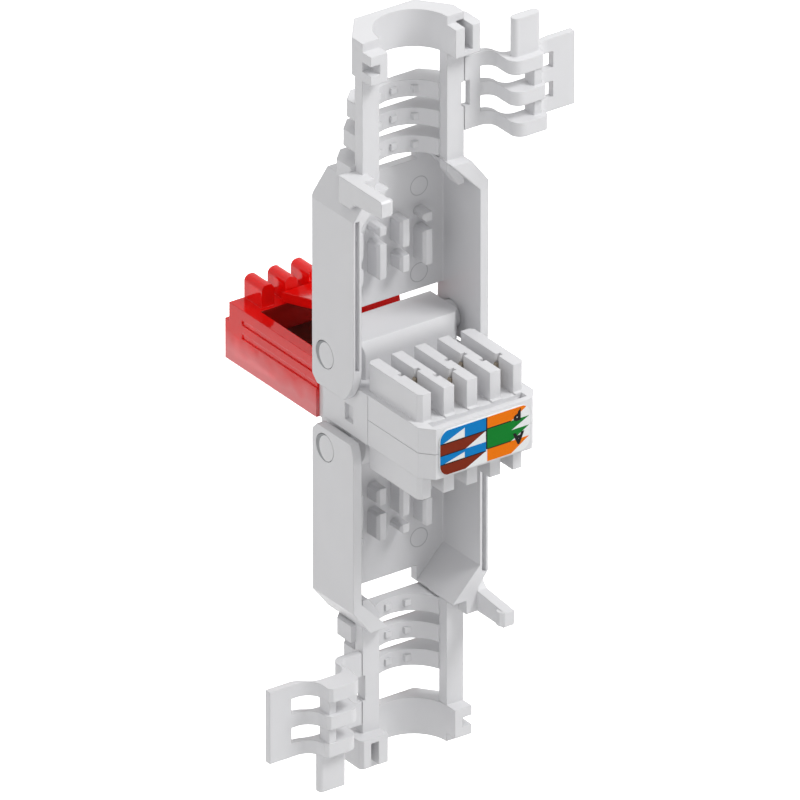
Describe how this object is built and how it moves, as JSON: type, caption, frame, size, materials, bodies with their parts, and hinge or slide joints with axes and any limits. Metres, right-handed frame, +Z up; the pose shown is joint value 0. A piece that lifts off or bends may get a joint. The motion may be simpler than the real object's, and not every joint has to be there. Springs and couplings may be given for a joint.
{
  "type": "field-terminated network plug",
  "caption": "Tool-less network plug shown open: clear red plug nose with latch lever, contact block, and two hinged ribbed covers.",
  "frame": {"origin": "centre of the front face of the plug nose, at half the plug's height and width", "axes": "+Y out of the plug nose, the way it enters a jack; +Z up, on the latch lever's side; the cable leaves towards -Y"},
  "size_m": [0.0316, 0.03, 0.0694],
  "materials": {
    "grey_plastic": "light grey moulded plastic, fine satin",
    "clear_red": "clear red moulded polycarbonate",
    "gold_plate": "gold plated contact blade",
    "tinned_bronze": "tin plated bronze",
    "board": "glass fibre board with solder mask",
    "label": "printed colour fields for the wire order"
  },
  "bodies": {
    "frame": {"centre_frame": "grey_plastic", "plug_body": "clear_red", "circuit_board": "board", "idc_block_upper": "grey_plastic", "idc_block_lower": "grey_plastic", "wiring_label": "label", "nose_contact_1": "gold_plate", "nose_contact_2": "gold_plate", "nose_contact_3": "gold_plate", "nose_contact_4": "gold_plate", "nose_contact_5": "gold_plate", "nose_contact_6": "gold_plate", "nose_contact_7": "gold_plate", "nose_contact_8": "gold_plate", "idc_contact_1": "tinned_bronze", "idc_contact_2": "tinned_bronze", "idc_contact_3": "tinned_bronze", "idc_contact_4": "tinned_bronze", "idc_contact_5": "tinned_bronze", "idc_contact_6": "tinned_bronze", "idc_contact_7": "tinned_bronze", "idc_contact_8": "tinned_bronze"},
    "latch_lever": {"latch_lever": "clear_red"},
    "upper_cover": {"upper_cover": "grey_plastic"},
    "lower_cover": {"lower_cover": "grey_plastic"},
    "upper_saddle": {"upper_saddle": "grey_plastic"},
    "lower_saddle": {"lower_saddle": "grey_plastic"}
  },
  "joints": [
    {"name": "upper_cover_hinge", "type": "hinge", "parent": "frame", "child": "upper_cover", "pos_m": [0, -0.01635, 0.00483], "axis": [1, 0, 0], "range_deg": [0, 90]},
    {"name": "lower_cover_hinge", "type": "hinge", "parent": "frame", "child": "lower_cover", "pos_m": [0, -0.01635, -0.00407], "axis": [1, 0, 0], "range_deg": [-90, 0]},
    {"name": "upper_saddle_fold", "type": "hinge", "parent": "upper_cover", "child": "upper_saddle", "pos_m": [0.00525, -0.0194, 0.02722], "axis": [0, 0, -1], "range_deg": [0, 165]},
    {"name": "lower_saddle_fold", "type": "hinge", "parent": "lower_cover", "child": "lower_saddle", "pos_m": [-0.00525, -0.0194, -0.02647], "axis": [0, 0, 1], "range_deg": [0, 165]},
    {"name": "latch_lever_press", "type": "hinge", "parent": "frame", "child": "latch_lever", "pos_m": [0, -0.0035, 0.00298], "axis": [1, 0, 0], "range_deg": [0, 10], "stiffness_Nm_per_rad": 0.05}
  ]
}
